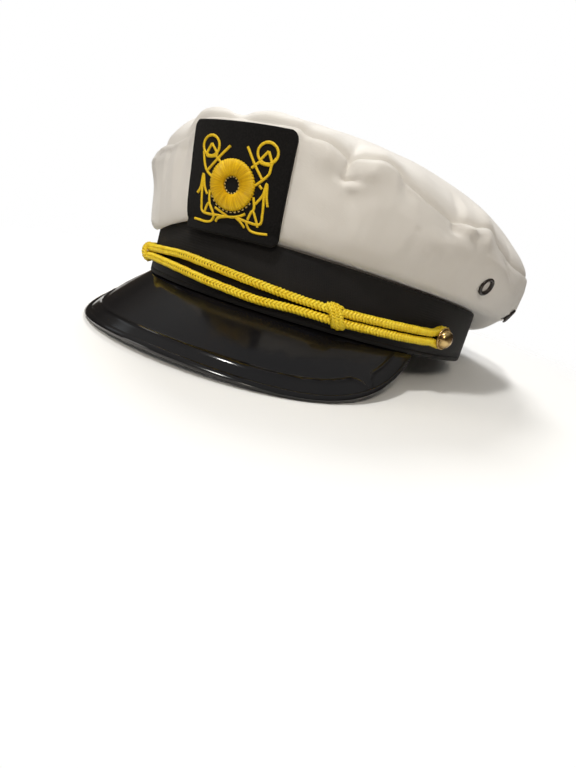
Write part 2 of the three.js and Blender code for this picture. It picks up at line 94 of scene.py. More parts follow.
# Light from each height: shares from straight down to straight up.
sky_stops = [
    (0, (0.19, 0.15, 0.115)),
    (0.44, (0.15, 0.112, 0.082)),
    (0.52, (0.04, 0.033, 0.027)),
    (0.64, (0.05, 0.045, 0.04)),
    (0.72, (0.13, 0.12, 0.11)),
    (0.86, (0.36, 0.36, 0.355)),
    (1, (0.42, 0.42, 0.42)),
]
sky = bpy.data.worlds.new("sky")
sky.use_nodes = True
sky_way = node(sky, "TexCoord", {}).outputs["Generated"]
sky_height = node(sky, "SeparateXYZ", {"Vector": sky_way}).outputs["Z"]
sky_colour = ramped(sky, ranged(sky, sky_height, (-1, 1), (0, 1)), sky_stops)
sky_light = node(sky, "Background", {"Color": sky_colour}).outputs["Background"]
backdrop = node(sky, "Background", {"Color": (1, 1, 1, 1)}).outputs["Background"]
sky_seen = node(sky, "LightPath", {}).outputs["Is Camera Ray"]
sky_mix = node(sky, "MixShader", {"Fac": sky_seen, 1: sky_light, 2: backdrop}).outputs["Shader"]
sky.node_tree.links.new(sky_mix, sky.node_tree.nodes["World Output"].inputs["Surface"])
scene.world = sky


def add_light(name, place, aim, size, watts, colour):
    lamp = bpy.data.lights.new(name, "AREA")
    lamp.shape = "DISK"
    lamp.size = size
    lamp.energy = watts
    lamp.color = colour
    holder = bpy.data.objects.new(name, lamp)
    holder.location = place
    holder.rotation_mode = "QUATERNION"
    holder.rotation_quaternion = (Vector(aim) - Vector(place)).to_track_quat("-Z", "Y")
    scene.collection.objects.link(holder)


hat_middle = (0, 0, 0.05)
# Each light's place, what it faces, its width, its watts and its colour.
add_light("rear_window", (-0.5, 0.68, 1.1), hat_middle, 0.5, 10, (1, 0.99, 0.98))
add_light("side_window", (-0.75, -0.6, 0.5), hat_middle, 0.3, 0.8, (1, 0.97, 0.91))
add_light("lamp", (-0.03, -0.6, 1.1), hat_middle, 0.14, 6.7, (1, 0.985, 0.95))
add_light("reading_lamp", (0.38, -0.8, 0.5), hat_middle, 0.2, 3, (1, 0.91, 0.77))
add_light("pale_shelf", (-0.8, -0.02, 0.5), hat_middle, 0.2, 0.045, (0.85, 0.93, 1))

ground_shape = bmesh.new()
bmesh.ops.create_circle(ground_shape, cap_ends=True, segments=64, radius=6)
ground_mesh = bpy.data.meshes.new("ground")
ground_shape.to_mesh(ground_mesh)
ground_shape.free()
ground = bpy.data.objects.new("ground", ground_mesh)
scene.collection.objects.link(ground)


def finish(name, **sockets):
    made = bpy.data.materials.new(name)
    made.use_nodes = True
    surface = made.node_tree.nodes["Principled BSDF"]
    for socket, value in sockets.items():
        surface.inputs[socket.replace("_", " ")].default_value = value
    return made


def join(made, source, socket):
    surface = made.node_tree.nodes["Principled BSDF"]
    made.node_tree.links.new(source, surface.inputs[socket])


def tint(made, factor, *stops):
    join(made, ramped(made, factor, stops), "Base Color")


def own_place(made):
    return node(made, "TexCoord", {}).outputs["Object"]


def mottled(made, place, scale, detail, roughness=0.5):
    inputs = {"Vector": place, "Scale": scale, "Detail": detail, "Roughness": roughness}
    return node(made, "TexNoise", inputs).outputs["Fac"]


pale_floor = finish("pale_floor", Roughness=0.9)
floor_place = own_place(pale_floor)
floor_mottle = mottled(pale_floor, floor_place, 9, 3)
tint(pale_floor, floor_mottle, (0, (0.9, 0.9, 0.89)), (1, (0.94, 0.94, 0.93)))
floor_reach = node(pale_floor, "VectorMath", {0: floor_place}, operation="LENGTH").outputs["Value"]
floor_fade = ranged(pale_floor, floor_reach, (0.3, 0.1), (0, 1), interpolation_type="SMOOTHSTEP")
join(pale_floor, floor_fade, "Alpha")
ground_mesh.materials.append(pale_floor)

# The band: black cloth over a stiff strip, turned in at its top edge and hemmed at the bottom,
# with its ends lapped at the back. Its lower rim is the plane that the hat is drawn from, and
# the whole hat is tipped so that it rests on the peak's edge and the back of this rim.
tip_place = (0.00005, 0.00059, 0.01172)
tip_turn = -0.11954
tipped = Matrix.Translation(tip_place) @ Matrix.Rotation(tip_turn, 4, "X")
gap = 0.0003
band_length = 0.1966
band_width = 0.1694
band_front = 0.0273
band_rear = 0.0246
band_wall = 0.0024
hem_depth = 0.00035
lap_step = 0.0007
lap_angle = 176  # degrees from the front where the ends lap
lap_fade = 0.8
band_ripple = 0.00018
fold_in = 0.0006


@lru_cache(maxsize=None)
def outward(angle):
    """The level direction that faces straight out of the band, at degrees from the front."""
    turn = radians(angle)
    return Vector((band_length * sin(turn), -band_width * cos(turn), 0)).normalized()


def beside(angle, out, height):
    turn = radians(angle)
    foot = Vector((band_width / 2 * sin(turn), -band_length / 2 * cos(turn), height))
    return foot + outward(angle) * out


def mix(low, high, share):
    return low + (high - low) * share


def ease(share):
    """Runs smoothly from 0 to 1."""
    share = min(max(share, 0), 1)
    return share * share * (3 - 2 * share)


def hump(distance, width):
    return exp(-((distance / width) ** 2))


def band_height(angle):
    return mix(band_front, band_rear, (1 - cos(radians(angle))) / 2)


def new_shape():
    shape = bmesh.new()
    shape.loops.layers.uv.new("weave")
    return shape


def shaped_grid(columns, rows, place, shape=None):
    """A grid whose points are placed by their column and row, then closed where they meet."""
    if shape is None:
        shape = new_shape()
    points = bmesh.ops.create_grid(
        shape, x_segments=columns, y_segments=rows, size=0.5, calc_uvs=True
    )["verts"]
    for point in points:
        column = round((point.co.x + 0.5) * columns)
        row = round((point.co.y + 0.5) * rows)
        point.co = tipped @ place(column, row)
    bmesh.ops.remove_doubles(shape, verts=points, dist=2e-6)
    return shape


def into_scene(shape, name, material, crisp=50):
    bmesh.ops.recalc_face_normals(shape, faces=shape.faces)
    mesh = bpy.data.meshes.new(name)
    shape.to_mesh(mesh)
    shape.free()
    mesh.polygons.foreach_set("use_smooth", [True] * len(mesh.polygons))
    mesh.set_sharp_from_angle(angle=radians(crisp))
    mesh.materials.append(material)
    piece = bpy.data.objects.new(name, mesh)
    scene.collection.objects.link(piece)
    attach(piece, "root")
    return piece


def round_hat(column, columns):
    """Degrees from the front, from -180 to 180, at a column of a shape that goes round."""
    return 360 * (column % columns) / columns - 180


band_columns = 360
# The band's section: height as a share of the band's, and how far in from its outer face.
band_section = [
    (0, 0.0012),
    (0, 0.0004),
    (0.012, 0.0001),
    (0.04, 0),
    (0.07, 0),
    (0.078, hem_depth),
    (0.086, 0),
    (0.3, 0),
    (0.6, 0),
    (0.9, 0),
    (0.975, 0.0001),
    (1, 0.0005),
    (1, 0.0012),
    (1, 0.002),
    (0.985, band_wall),
    (0.5, band_wall),
    (0.015, band_wall),
    (0, 0.002),
]


def band_point(column, row):
    angle = round_hat(column, band_columns)
    rise, depth = band_section[row % len(band_section)]
    point = beside(angle, 0, 0)
    wave = band_ripple * noise.noise(Vector((point.x, point.y, rise * 0.02)) * 60)
    lap = lap_step * ease((lap_angle - abs(angle - 1)) / lap_fade) if angle > 0 else lap_step
    outside = ease((band_wall / 2 - depth) / fold_in)
    return beside(angle, outside * (wave - (lap_step - lap) * 0.5) - depth, rise * band_height(angle))


black_cloth = finish(
    "black_band_cloth", Roughness=0.65, Specular_IOR_Level=0.16, Sheen_Weight=0.02, Sheen_Roughness=0.5
)


def along_weave(made, scale):
    """Places that follow the piece's surface, with so many threads each way."""
    place = node(made, "UVMap", {}, uv_map="weave").outputs["UV"]
    return node(made, "Mapping", {"Vector": place, "Scale": scale}).outputs["Vector"]


def weave_height(made, threads):
    """Height of a plain weave with one thread to each unit of a place on the cloth."""
    parts = node(made, "SeparateXYZ", {"Vector": threads})
    warp = node(made, "Math", {0: parts.outputs["X"], 1: pi}, operation="MULTIPLY")
    weft = node(made, "Math", {0: parts.outputs["Y"], 1: pi}, operation="MULTIPLY")
    warp = node(made, "Math", {0: warp.outputs[0]}, operation="SINE")
    weft = node(made, "Math", {0: weft.outputs[0]}, operation="SINE")
    return node(made, "Math", {0: warp.outputs[0], 1: weft.outputs[0]}, operation="MULTIPLY").outputs[0]


def relief(made, height, depth, strength, before=None):
    inputs = {"Height": height, "Distance": depth, "Strength": strength}
    if before is not None:
        inputs["Normal"] = before
    return node(made, "Bump", inputs).outputs["Normal"]


black_wear = mottled(black_cloth, own_place(black_cloth), 55, 5)
tint(black_cloth, black_wear, (0.25, (0.007, 0.007, 0.008)), (0.75, (0.014, 0.013, 0.013)))
black_grain = relief(black_cloth, black_wear, 0.0006, 0.25)
black_threads = weave_height(black_cloth, along_weave(black_cloth, (1500, 130, 1)))
join(black_cloth, relief(black_cloth, black_threads, 0.00012, 0.5, black_grain), "Normal")

band = into_scene(
    shaped_grid(band_columns, len(band_section), band_point), "band_cloth", black_cloth, 60
)
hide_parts("band")

# The crown's wall: white woven cloth, sewn inside the band's top edge, rolled out over it and
# gathered into puckers at the seam with the top panel.
crown_rise = 0.0427
crown_overhang = 0.027
crown_wall = 0.002
crown_tuck = 0.0065
millimetre = 0.001
millimetres_a_degree = 1.72
fold_reach = 30  # millimetres from a crease past which it moves nothing
wall_tall = 38  # millimetres from the roll to the seam
wall_slack = [(0.0009, 2.2), (0.00035, 6.5)]  # how far the cloth wanders, and how often
wall_crumple = 0.00018
seam_roll = 0.0005
seam_crease = 0.0026
belly_follows = 0.2  # share of the seam's rise that the belly takes
patch_cover = 19  # degrees each side of the front that the patch holds flat
# The wall's shape: for each angle from the front, how far out and up its roll, belly and seam
# are, as shares of crown_overhang and of crown_rise.
crown_shape = {
    0: (0.05, 0.04, 0.23, 0.53, 0.36, 1),
    30: (0.1, 0.05, 0.31, 0.53, 0.36, 0.92),
    60: (0.2, 0.07, 0.52, 0.52, 0.48, 0.74),
    90: (0.42, -0.01, 0.74, 0.28, 0.65, 0.54),
    120: (0.68, -0.05, 0.94, 0.13, 0.81, 0.37),
    150: (0.82, -0.14, 1.05, 0.06, 0.93, 0.27),
    180: (0.86, -0.16, 1.09, 0.04, 1, 0.23),
}
# How the wall has slumped: for each angle, millimetres that the roll moves out and up, and that
# the belly moves out and up.
crown_slump = {
    -150: (0, 0, 0, 0),
    -110: (0, 0, 0, 0),
    -80: (0.5, -4, -1, 1),
    -50: (-2.6, -9, 0.2, 0.8),
    -32: (-1.2, -8.6, -0.3, 1),
    -20: (0, -4.8, 0, 1),
    -8: (0, 0, 0, 0),
    60: (0, 0, 0, 0),
    80: (-0.4, 1, -1.2, 0.5),
    96: (-0.8, 2.8, -3.2, 1.4),
    108: (-1.2, 2.2, -3, 0.6),
    120: (-1.5, 2.2, -2, 0),
    131: (-1, -2.5, -1, -1),
    142: (-1, -4, -0.5, -1.5),
    160: (0, 0, 0, 0),
}
# The seam's gathers: for each angle, millimetres up from its plain line and in towards the hat.
seam_gathers = {
    -180: (0.5, 0),
    -166: (-1.6, 1.5),
    -158: (0.6, 0),
    -141: (-1.9, 1.7),
    -131: (1, 0),
    -113: (-2.3, 2),
    -103: (1.2, 0),
    -87: (-2.2, 1.8),
    -76: (1.2, 0),
    -60: (-4.4, 3.4),
    -50: (-4.2, 3.2),
    -41: (-7.4, 3.2),
    -33: (-9, 1.8),
    -24.5: (-10, 1.8),
    -17.7: (-7.4, 2.2),
    -13.7: (-2.2, 1),
    -8: (-1.4, 0),
    0: (-1.6, 0),
    7: (-0.3, 0),
    14: (1.1, 0),
    16: (-0.1, 0.6),
    21: (-0.3, 0.3),
    25.4: (-2.1, 1.8),
    26.9: (-2.6, 2.4),
    28.3: (-1.3, 1.5),
    31.4: (0.1, 0),
    34.3: (1.7, -0.4),
    37.4: (1.3, 0),
    39.7: (-0.7, 0.3),
    44.2: (-2.6, 1),
    49.5: (-3.7, 1.8),
    54.1: (-3.9, 2.6),
    57.5: (-1.8, 1.2),
    61: (-0.5, 0.3),
    64.7: (2.1, -0.4),
    69.6: (-0.7, 0.3),
    79.5: (-1.9, 1.2),
    86.7: (-0.6, 0.5),
    94: (1, 0),
    113: (-2.3, 2),
    123: (1, 0),
    139: (-1.9, 1.6),
    149: (0.9, 0),
    166: (-1.6, 1.5),
    173: (0.8, 0),
    180: (0.5, 0),
}
# Creases and puffs of the wall: angle, place up from the roll to the seam, half width and half
# height in millimetres, degrees that it leans, and how far it stands out in millimetres.
wall_folds = [
    (27, 0.93, 1.5, 6.5, 0, -2.4),
    (27.8, 0.74, 3.4, 1.2, 0, -1.5),
    (28.4, 0.67, 4.5, 2.4, 0, 0.9),
    (29.6, 0.56, 1.8, 4, 8, -0.7),
    (31.5, 0.88, 4.2, 6, 10, 1.7),
    (22, 0.86, 6, 6, 0, 1.1),
    (16.5, 0.93, 1.6, 4, 12, -0.7),
    (35, 0.7, 6, 12, 18, 1.4),
    (40.5, 0.9, 3, 7, 25, -1),
    (43, 0.55, 9, 12, 20, 0.7),
    (55.5, 0.8, 2.4, 6, 12, -2.6),
    (53, 0.6, 4, 6, 20, -0.8),
    (58.6, 0.82, 3, 4, 0, 2.6),
    (63.5, 0.8, 4, 8, 14, 1.5),
    (70, 0.62, 7, 7, 30, 0.8),
    (77, 0.66, 2.4, 8, 50, -0.8),
    (88, 0.6, 3, 9, 15, -0.8),
    (113, 0.72, 2.4, 9, -12, -1.4),
    (118, 0.75, 5, 7, -8, 1),
    (139, 0.72, 2.6, 8, 10, -1.2),
    (145, 0.74, 5, 7, 6, 0.9),
    (166, 0.7, 2.6, 8, -8, -1.1),
    (-18, 0.62, 2.4, 14, -4, -0.8),
    (-22, 0.55, 2.6, 14, 5, 0.7),
    (-27, 0.6, 2.2, 13, -4, -0.7),
    (-38, 0.6, 5, 12, 0, 0.7),
    (-48, 0.34, 28, 5, 0, -2.2),
    (-48, 0.1, 26, 4.5, 0, 2),
    (-60, 0.7, 2.4, 9, -12, -1.6),
    (-66, 0.78, 4.5, 6, -8, 1.1),
    (-87, 0.7, 2.6, 9, 10, -1.2),
    (-93, 0.74, 5, 7, 6, 0.9),
    (-113, 0.7, 2.5, 9, -12, -1.3),
    (-141, 0.7, 2.6, 8, 9, -1.2),
    (-147, 0.74, 5, 7, 5, 0.9),
    (-166, 0.7, 2.6, 8, 8, -1.1),
]


def read(rows, column, key):
    """One column of a table at a key, on a smooth curve through its rows."""
    keys = sorted(rows)
    key = min(max(key, keys[0]), keys[-1])
    i = max(next(i for i, k in enumerate(keys) if k >= key), 1)

    def slope(k):
        before, after = keys[max(k - 1, 0)], keys[min(k + 1, len(keys) - 1)]
        return (rows[after][column] - rows[before][column]) / (after - before)

    low, high = rows[keys[i - 1]][column], rows[keys[i]][column]
    span = keys[i] - keys[i - 1]
    t = (key - keys[i - 1]) / span
    leave = t * (1 - t) ** 2 * span * slope(i - 1)
    arrive = t * t * (t - 1) * span * slope(i)
    return low + (high - low) * t * t * (3 - 2 * t) + leave + arrive


def apart(a, b):
    """Signed degrees from b to a, from -180 to 180."""
    return (a - b + 540) % 360 - 180


@lru_cache(maxsize=None)
def gather(angle):
    """How far up and how far in the seam is drawn at an angle, in metres."""
    return read(seam_gathers, 0, angle) * millimetre, read(seam_gathers, 1, angle) * millimetre


def spline(points, share):
    """A point of the centripetal curve through points, and the direction there."""
    place = share * (len(points) - 1)
    i = min(int(place), len(points) - 2)
    t = place - i
    p1, p2 = points[i], points[i + 1]
    p0 = points[i - 1] if i > 0 else p1 * 2 - p2
    p3 = points[i + 2] if i + 2 < len(points) else p2 * 2 - p1
    d0, d1, d2 = (max(sqrt((b - a).length), 1e-4) for a, b in ((p0, p1), (p1, p2), (p2, p3)))
    m1 = ((p1 - p0) / d0 - (p2 - p0) / (d0 + d1) + (p2 - p1) / d1) * d1
    m2 = ((p2 - p1) / d1 - (p3 - p1) / (d1 + d2) + (p3 - p2) / d2) * d1
    a = p1 * 2 - p2 * 2 + m1 + m2
    b = p2 * 3 - p1 * 3 - m1 * 2 - m2
    return ((a * t + b) * t + m1) * t + p1, (a * 3 * t + b * 2) * t + m1


@lru_cache(maxsize=None)
def wall_curve(angle, lift=0.0, draw=0.0):
    """The wall's outer face: x is out from the band and y is up."""
    top = band_height(angle)
    inside = -band_wall - gap
    roll_out, roll_up, belly_out, belly_up, seam_out, seam_up = (
        read(crown_shape, column, abs(angle)) for column in range(6)
    )
    slump = [read(crown_slump, column, angle) * millimetre for column in range(4)]
    belly = top + belly_up * crown_rise + slump[3] + belly_follows * lift
    return [
        Vector((inside, top - crown_tuck)),
        Vector((inside, top - gap)),
        Vector((-band_wall / 2, top + 3 * gap)),
        Vector((roll_out * crown_overhang + slump[0], top + gap + roll_up * crown_rise + slump[1])),
        Vector((belly_out * crown_overhang + slump[2], belly)),
        Vector((seam_out * crown_overhang - draw, top + seam_up * crown_rise + lift)),
    ]


def wall_point(angle, station, depth=0.0, swell=0.0):
    """A point of the wall: station runs from 0 at its foot to 5 at the seam."""
    angle = round(angle, 4)
    point, along = spline(wall_curve(angle, *gather(angle)), station / 5)
    face = Vector((along.y, -along.x)).normalized() * (swell - depth)
    return beside(angle, point.x + face.x, point.y + face.y)


def folds(table, angle, up, height):
    """How far a table's creases and puffs move the cloth, in metres."""
    sum_of_folds = 0.0
    for at, share, half_width, half_height, lean, stand in table:
        across = apart(angle, at) * millimetres_a_degree
        if abs(across) > fold_reach:
            continue
        above = (up - share) * height
        turn = radians(lean)
        along = (above * cos(turn) - across * sin(turn)) / half_height
        aside = (across * cos(turn) + above * sin(turn)) / half_width
        sum_of_folds += millimetre * stand * exp(-along * along - aside * aside)
    return sum_of_folds


def under_patch(angle, up):
    return ease((patch_cover - abs(angle - 1)) / 5) * ease((1 - up) / 0.05)


def wall_swell(angle, up):
    """How far the cloth stands proud of its plain shape: up is 0 at the roll, 1 at the seam."""
    place = Vector((sin(radians(angle)) * 1.6, cos(radians(angle)) * 1.6, up * 0.9))
    loose = ease(up / 0.3)
    swell = folds(wall_folds, angle, up, wall_tall)
    for far, often in wall_slack:
        swell += far * loose * noise.noise(place * often)
    swell += wall_crumple * loose * noise.noise(Vector((place.x * 22, place.y * 22, up * 3)))
    swell *= 1 - under_patch(angle, up)
    swell += seam_roll * hump(up - 0.86, 0.12)
    return swell - seam_crease * ease((up - 0.95) / 0.05) ** 2


wall_columns = 600
outer_stations = [0, 0.6, 1, 1.3, 1.6, 1.9, 2.2, 2.5, 2.8] + [3 + 2 * i / 38 for i in range(39)]
inner_stations = [5, 4.8, 4.5, 4.2, 3.9, 3.6, 3.3, 3, 2.7, 2.4, 2.1, 1.8, 1.5, 1.2, 1, 0]
wall_section = [(station, 0.0) for station in outer_stations]
wall_section += [(station, crown_wall) for station in inner_stations]
eyelet_hole = 0.003
hole_depth = 0.006
eyelets = {
    "eyelet_left_front": (72, 0.55),
    "eyelet_left_rear": (102.5, 0.4),
    "eyelet_right_front": (-72, 0.55),
    "eyelet_right_rear": (-102.5, 0.4),
}


def wall_place(column, row):
    angle = round_hat(column, wall_columns)
    station, depth = wall_section[row % len(wall_section)]
    return wall_point(angle, station, depth, wall_swell(angle, (station - 3) / 2))


white_cloth = finish("white_crown_cloth", Roughness=0.78, Sheen_Weight=0.25, Sheen_Roughness=0.45)
white_threads = along_weave(white_cloth, (1500, 330, 1))
white_mottle = mottled(white_cloth, own_place(white_cloth), 28, 4)
white_slub = mottled(white_cloth, white_threads, 0.35, 2)
tint(white_cloth, white_mottle, (0.2, (0.77, 0.74, 0.7)), (0.8, (0.83, 0.81, 0.775)))
white_crumple = relief(white_cloth, white_mottle, 0.0012, 0.25)
white_streak = relief(white_cloth, white_slub, 0.00008, 0.5, white_crumple)
white_height = weave_height(white_cloth, white_threads)
join(white_cloth, relief(white_cloth, white_height, 0.0001, 0.5, white_streak), "Normal")

wall_shape = shaped_grid(wall_columns, len(wall_section), wall_place)
for angle, up in eyelets.values():
    centre = tipped @ wall_point(angle, 3 + up, 0.0, wall_swell(angle, up / 2))
    inside = tipped.to_3x3() @ -outward(angle)
    holed = []
    for face in wall_shape.faces:
        offset = face.calc_center_median() - centre
        deep = offset.dot(inside)
        if abs(deep) < hole_depth and (offset - inside * deep).length < eyelet_hole:
            holed.append(face)
    bmesh.ops.delete(wall_shape, geom=holed, context="FACES")
wall = into_scene(wall_shape, "crown_wall_cloth", white_cloth)
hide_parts("crown_side")

# The top panel: the same white cloth, sewn to the wall along the puckered seam. It stands up
# in a soft roll just inside the seam, all but at the far front, and lies in a low dome.
top_wall = 0.002
top_rise = 0.031
top_flatness = 4
top_tight = 14  # a higher power keeps the gathers closer to the seam
top_deep = 100  # millimetres from the middle to the seam
top_slack = 0.0014
top_crumple = 0.0005
top_lip = 0.0008
top_crease = 0.0024
lipless = -46  # degrees from the front where the panel has no lip
top_columns = 600
outer_shares = [1 - (1 - i / 50) ** 1.8 for i in range(51)]
inner_shares = [1, 0.97, 0.93, 0.88, 0.8, 0.7, 0.55, 0.4, 0.2, 0]
top_section = [(share, 0.0) for share in outer_shares] + [(share, top_wall) for share in inner_shares]
# Creases and puffs of the panel, as for the wall, but with their place out from its middle.
top_folds = [
    (27.5, 0.96, 2, 5, 0, -1.2),
    (33, 0.93, 5, 6, -10, 0.9),
    (21, 0.93, 5, 6, 0, 0.7),
    (45, 0.9, 9, 5, 0, 0.9),
    (56, 0.95, 2.4, 6, 0, -1.3),
    (65, 0.93, 6, 6, 0, 0.9),
    (80, 0.94, 3, 6, 0, -0.9),
    (-12, 0.94, 6, 6, 0, 1.6),
    (-17, 0.95, 5, 8, 0, 3),
    (-28, 0.9, 6, 8, 0, 1.2),
    (-44, 0.95, 14, 5, 0, -1.7),
    (-6, 0.91, 3.2, 16, -54, -2.4),
    (6, 0.93, 8, 8, 0, 1.6),
    (-60, 0.94, 3, 9, 0, -1.3),
    (-87, 0.94, 3, 9, 0, -1.1),
    (-113, 0.94, 3, 10, 0, -1.2),
    (-141, 0.94, 3, 9, 0, -1),
    (-166, 0.94, 3, 9, 0, -1),
    (113, 0.94, 3, 10, 0, -1.2),
    (139, 0.94, 3, 9, 0, -1.1),
    (166, 0.94, 3, 9, 0, -1),
]
seam_ahead, seam_behind = wall_point(0, 5), wall_point(180, 5)
top_centre = (seam_ahead + seam_behind) / 2


def top_point(column, row):
    angle = round_hat(column, top_columns)
    share, depth = top_section[min(row, len(top_section) - 1)]
    lift, draw = gather(angle)
    drawn = share**top_tight
    plain = wall_curve(round(angle, 4))[-1]
    seam = beside(angle, plain.x - draw * drawn, plain.y)
    point = top_centre.lerp(seam, share)
    point.z = gap + mix(top_centre.z + top_rise, seam.z, share**top_flatness) + lift * drawn
    swell = folds(top_folds, angle, share, top_deep) * ease((share - 0.3) / 0.3)
    swell += top_slack * noise.noise(Vector((point.x, point.y, 0.1)) * 22) * (1 - 0.5 * share)
    swell += top_crumple * noise.noise(Vector((point.x, point.y, 0.1)) * 70)
    from_seam = (1 - share) * top_deep
    swell += top_lip * hump(from_seam - 4, 4) * (1 - hump(apart(angle, lipless), 16))
    swell -= top_crease * hump(from_seam, 0.9)
    slope = ease((share - 0.5) / 0.5)
    way = outward(angle) * 0.6 * slope + Vector((0, 0, 1))
    return point + way.normalized() * swell - Vector((0, 0, depth * (1 + 0.5 * share**4)))


top_shape = shaped_grid(top_columns, len(top_section) - 1, top_point)
top = into_scene(top_shape, "crown_top_cloth", white_cloth)
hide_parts("crown_top")

# The peak: one glossy black plastic moulding. A flange stands up inside the band, the blade
# slopes down from it to a raised bead along its edge, and a fine ridge frames its middle.
peak_reach = 0.0386
peak_span = 62
peak_wall = 0.0018
peak_flange = 0.008
bend_above = (0.0004, 0.0005)
bend_below = 0.0006
peak_drops = (37, 47)
peak_end = 0.001
peak_fullness = 4.6  # a higher power keeps the peak wide for longer towards its ends
peak_fan = 0.55  # share of its direction that follows the band
peak_bulge = 0.05
bead_width = 0.003
bead_height = 0.0008
frame_inset = 0.0087
frame_width = 0.0006
frame_height = 0.00042
frame_step = 0.0002
step_run = 0.0012
front_share = 0.74
side_share = 0.86
side_inset = 1.15


def peak_width(t):
    return (peak_reach - peak_end) * (1 - abs(t) ** peak_fullness) + peak_end


def peak_point(t, distance, height):
    """A point of the blade: t from -1 to 1 across it, distance down its slope from the band."""
    angle = peak_span * t
    way = Vector((0, -1, 0)).lerp(outward(angle), peak_fan).normalized()
    drop = radians(mix(*peak_drops, t * t))
    swell = peak_bulge * distance * (1 - distance / peak_width(t)) + height
    point = beside(angle, 0, -gap) + way * (distance * cos(drop) + swell * sin(drop))
    return point + Vector((0, 0, swell * cos(drop) - distance * sin(drop)))


peak_columns = 260
slope_shares = [0.01 + 0.99 * i / 44 for i in range(45)]
bead_steps = [(1 - i / 12, sqrt(max(1 - (abs(i / 12 - 0.55) / 0.56) ** 2.4, 0))) for i in range(13)]
edge_steps = [(0, 0.6), (0.1, 0.9), (0.4, 1)]
under_rows = 8
edge_front = KDTree(361)
for step in range(361):
    t = front_share * (step / 180 - 1)
    edge_front.insert(peak_point(t, peak_width(t), 0), step)
edge_front.balance()
edge_sides = KDTree(240)
for step in range(120):
    t = side_share + (1 - side_share) * sin(pi / 2 * step / 119)
    edge_sides.insert(peak_point(t, peak_width(t), 0), 2 * step)
    edge_sides.insert(peak_point(-t, peak_width(t), 0), 2 * step + 1)
edge_sides.balance()


def peak_relief(point):
    """The frame ridge and the slightly sunk middle that it surrounds."""
    inside = min(edge_front.find(point)[2], edge_sides.find(point)[2] * side_inset) - frame_inset
    return frame_height * hump(inside, frame_width) - frame_step * ease(inside / step_run)


def peak_place(column, row):
    t = sin((column / peak_columns - 0.5) * pi)
    angle = peak_span * t
    inside = -band_wall - gap
    width = peak_width(t)
    rim = min(bead_width, width / 2)
    under = -gap - peak_wall
    upper = [(inside, peak_flange), (inside, bend_above[1]), (inside + bend_above[0], -gap)]
    lower = [(-band_wall / 2, under), (inside - peak_wall, under + bend_below)]
    lower += [(inside - peak_wall, peak_flange)]
    if row < len(upper):
        return beside(angle, *upper[row])
    row -= len(upper)
    if row < len(slope_shares):
        distance = slope_shares[row] * (width - rim)
        plain = peak_point(t, distance, 0)
        fade = ease((width - rim - distance) / 0.001) * ease((width - 0.012) / 0.01)
        return peak_point(t, distance, peak_relief(plain) * fade)
    row -= len(slope_shares)
    if row < len(bead_steps):
        back, lift = bead_steps[row]
        return peak_point(t, width - back * rim, lift * bead_height * rim / bead_width)
    row -= len(bead_steps)
    if row < len(edge_steps):
        back, deep = edge_steps[row]
        return peak_point(t, width - back * rim, -peak_wall * deep)
    row -= len(edge_steps)
    if row < under_rows:
        return peak_point(t, (width - rim) * (1 - row / under_rows) + 0.01 * rim, -peak_wall)
    row -= under_rows
    return beside(angle, *lower[row]) if row < len(lower) else beside(angle, *upper[0])


peak_rows = 3 + len(slope_shares) + len(bead_steps) + len(edge_steps) + under_rows + 3

moulded = finish("glossy_peak_plastic", Specular_IOR_Level=0.36)
moulded_place = own_place(moulded)
moulded_haze = mottled(moulded, moulded_place, 34, 4)
moulded_wave = mottled(moulded, moulded_place, 11, 1)
moulded_scuff = mottled(moulded, moulded_place, 900, 3, 0.7)
tint(moulded, moulded_haze, (0.3, (0.004, 0.004, 0.005)), (0.8, (0.008, 0.007, 0.007)))
join(moulded, ranged(moulded, moulded_haze, (0.3, 0.75), (0.09, 0.19)), "Roughness")
moulded_sag = relief(moulded, moulded_wave, 0.0016, 0.35)
join(moulded, relief(moulded, moulded_scuff, 0.00003, 0.25, moulded_sag), "Normal")

peak_shape = shaped_grid(peak_columns, peak_rows, peak_place)
open_ends = [edge for edge in peak_shape.edges if edge.is_boundary]
bmesh.ops.holes_fill(peak_shape, edges=open_ends)
peak = into_scene(peak_shape, "moulded_peak", moulded, 40)
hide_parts("peak")

# The patch: thick black felt with small rounded corners, sewn on a little askew over the
# front of the crown, with its lower edge hanging over the band.
patch_width = 0.0416
patch_height = 0.041
patch_wall = 0.0018
patch_gap = 0.00045
patch_corner = 0.003
patch_turn = radians(2.2)
patch_dip = 0.0024
patch_aside = 0.0021
patch_round = 0.0009
patch_fuzz = 0.00007
corner_rise = (0.0005, 0.0012)
corner_pull = 0.0012
arc_step = 0.25
arc_lengths = [0.0]
while len(arc_lengths) < 161:
    step = len(arc_lengths) * arc_step
    arc_lengths.append(
        arc_lengths[-1] + (beside(step, 0, 0) - beside(step - arc_step, 0, 0)).length
    )


def angle_at(distance):
    """The angle whose distance round the front of the band is a given length."""
    i = next(i for i, length in enumerate(arc_lengths) if length > abs(distance))
    part = (abs(distance) - arc_lengths[i - 1]) / (arc_lengths[i] - arc_lengths[i - 1])
    return (1 if distance > 0 else -1) * arc_step * (i - 1 + part)


@lru_cache(maxsize=None)
def wall_profile(angle):
    """Height and distance out of the plain wall at an angle, from the roll to the seam."""
    curve = wall_curve(angle)
    return [spline(curve, 0.6 + 0.4 * i / 60)[0] for i in range(61)]


def wall_out(angle, height):
    profile = wall_profile(round(angle * 4) / 4)
    for low, high in zip(profile, profile[1:]):
        if high.y >= height:
            return mix(low.x, high.x, min(max((height - low.y) / (high.y - low.y), 0), 1))
    return profile[-1].x


